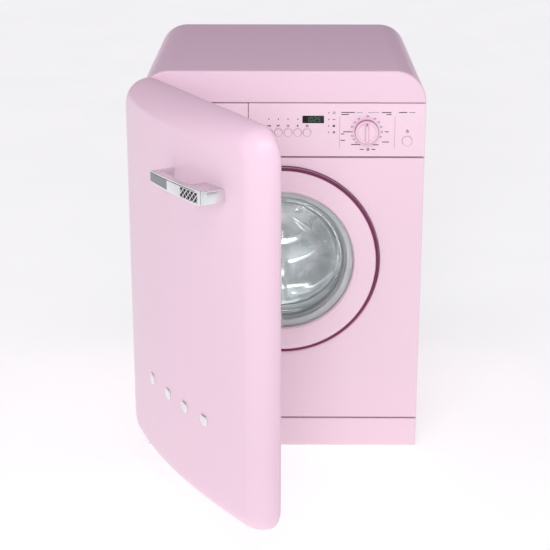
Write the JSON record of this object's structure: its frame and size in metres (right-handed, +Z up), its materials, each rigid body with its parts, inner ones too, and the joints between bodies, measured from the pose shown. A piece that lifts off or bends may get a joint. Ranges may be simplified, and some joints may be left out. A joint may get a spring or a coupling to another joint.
{
  "type": "front-loading washing machine",
  "caption": "Retro pink front-loading washing machine with round-cornered cabinet, bulged outer door with chrome handle, porthole, dial controls and suspended drum",
  "frame": {"origin": "bottom centre of the whole object's box with the outer door standing open, on the floor", "axes": "+Z up, +Y from the front to the back, +X to the right seen from the front"},
  "size_m": [0.6174, 1.1388, 0.85],
  "materials": {
    "enamel": "gloss",
    "panel_paint": "satin",
    "pink_plastic": "satin",
    "burgundy_trim": "gloss",
    "chrome": "polished",
    "stainless_steel": "brushed",
    "galvanised_steel": "matt",
    "glass": "clear",
    "display": "gloss",
    "grey_rubber": "matt",
    "black_rubber": "matt",
    "grey_polymer": "matt",
    "white_plastic": "satin",
    "dark_plastic": "matt",
    "concrete": "rough",
    "motor_metal": "satin"
  },
  "bodies": {
    "machine": {"cabinet_wrap": "enamel", "front_panel": "panel_paint", "control_fascia": "pink_plastic", "plinth": "panel_paint", "back_panel": "galvanised_steel", "base_pan": "galvanised_steel", "foot_front_left": "black_rubber", "foot_front_right": "black_rubber", "foot_rear_left": "black_rubber", "foot_rear_right": "black_rubber", "suspension_crossbar": "galvanised_steel", "outer_hinge_lower": "stainless_steel", "outer_hinge_upper": "stainless_steel", "porthole_hinge_plate": "stainless_steel", "door_lock": "dark_plastic", "door_gasket": "grey_rubber", "dispenser_housing": "grey_polymer", "fill_hose": "black_rubber", "inlet_valve": "white_plastic", "control_board": "dark_plastic", "display_window": "display", "drain_pump": "white_plastic", "drain_hose": "dark_plastic", "sump_hose": "black_rubber", "spring_left": "galvanised_steel", "damper_cylinder_left": "dark_plastic", "spring_right": "galvanised_steel", "damper_cylinder_right": "dark_plastic"},
    "outer_door": {"outer_door_skin": "enamel", "outer_door_liner": "white_plastic", "outer_door_seal": "grey_rubber", "handle_casting": "chrome", "handle_faceplate": "chrome"},
    "porthole": {"porthole_frame": "pink_plastic", "porthole_trim_ring": "burgundy_trim", "porthole_glass": "glass", "porthole_inner_frame": "white_plastic"},
    "latch": {"latch_hook": "stainless_steel"},
    "drawer": {"drawer_front": "pink_plastic", "drawer_tray": "white_plastic"},
    "knob": {"program_knob": "pink_plastic"},
    "button_1": {"option_button_1": "pink_plastic"},
    "button_2": {"option_button_2": "pink_plastic"},
    "button_3": {"option_button_3": "pink_plastic"},
    "button_4": {"option_button_4": "pink_plastic"},
    "button_5": {"option_button_5": "pink_plastic"},
    "power": {"power_button": "pink_plastic"},
    "tub": {"tub_front": "grey_polymer", "tub_rear": "grey_polymer", "bearing_sleeve": "stainless_steel", "counterweight_front": "concrete", "counterweight_top": "concrete", "motor": "motor_metal", "damper_rod_left": "stainless_steel", "damper_rod_right": "stainless_steel", "drive_belt": "black_rubber"},
    "drum": {"drum_basket": "stainless_steel", "drum_spider": "motor_metal", "drum_pulley": "motor_metal"},
    "motor_shaft": {"motor_pulley": "stainless_steel"}
  },
  "joints": [
    {"name": "outer_door_hinge", "type": "hinge", "parent": "machine", "child": "outer_door", "pos_m": [-0.2758, -0.04865, 0.385], "axis": [0, 0, -1], "range_deg": [-61.2, 58.8]},
    {"name": "porthole_hinge", "type": "hinge", "parent": "machine", "child": "porthole", "pos_m": [0.2072, -0.03145, 0.44], "axis": [0, 0, 1], "range_deg": [0, 100]},
    {"name": "latch_pivot", "type": "hinge", "parent": "porthole", "child": "latch", "pos_m": [-0.1668, -0.01615, 0.44], "axis": [0, 0, -1], "range_deg": [0, 6], "stiffness_Nm_per_rad": 0.5},
    {"name": "drawer_slide", "type": "slide", "parent": "machine", "child": "drawer", "axis": [0, -1, 0], "range_m": [0, 0.165]},
    {"name": "knob_turn", "type": "hinge", "parent": "machine", "child": "knob", "pos_m": [0.1864, -0.02865, 0.7234], "axis": [0, -1, 0], "continuous": true},
    {"name": "button_1_press", "type": "slide", "parent": "machine", "child": "button_1", "axis": [0, 1, 0], "range_m": [0, 0.002], "stiffness_N_per_m": 300},
    {"name": "button_2_press", "type": "slide", "parent": "machine", "child": "button_2", "axis": [0, 1, 0], "range_m": [0, 0.002], "stiffness_N_per_m": 300},
    {"name": "button_3_press", "type": "slide", "parent": "machine", "child": "button_3", "axis": [0, 1, 0], "range_m": [0, 0.002], "stiffness_N_per_m": 300},
    {"name": "button_4_press", "type": "slide", "parent": "machine", "child": "button_4", "axis": [0, 1, 0], "range_m": [0, 0.002], "stiffness_N_per_m": 300},
    {"name": "button_5_press", "type": "slide", "parent": "machine", "child": "button_5", "axis": [0, 1, 0], "range_m": [0, 0.002], "stiffness_N_per_m": 300},
    {"name": "power_press", "type": "slide", "parent": "machine", "child": "power", "axis": [0, 1, 0], "range_m": [0, 0.002], "stiffness_N_per_m": 300},
    {"name": "tub_bounce", "type": "slide", "parent": "machine", "child": "tub", "axis": [0, 0, 1], "range_m": [-0.01, 0.01], "stiffness_N_per_m": 15000, "springref_m": 0.03466, "deforming": ["spring_left", "spring_right", "door_gasket", "fill_hose", "sump_hose"]},
    {"name": "drum_spin", "type": "hinge", "parent": "tub", "child": "drum", "pos_m": [0.0112, 0.27135, 0.44], "axis": [0, 1, 0], "continuous": true},
    {"name": "motor_spin", "type": "hinge", "parent": "tub", "child": "motor_shaft", "pos_m": [0.1212, 0.49035, 0.135], "axis": [0, 1, 0], "continuous": true}
  ],
  "couplings": [
    {"joint": "motor_spin", "follows": "drum_spin", "ratio": 11.667}
  ]
}
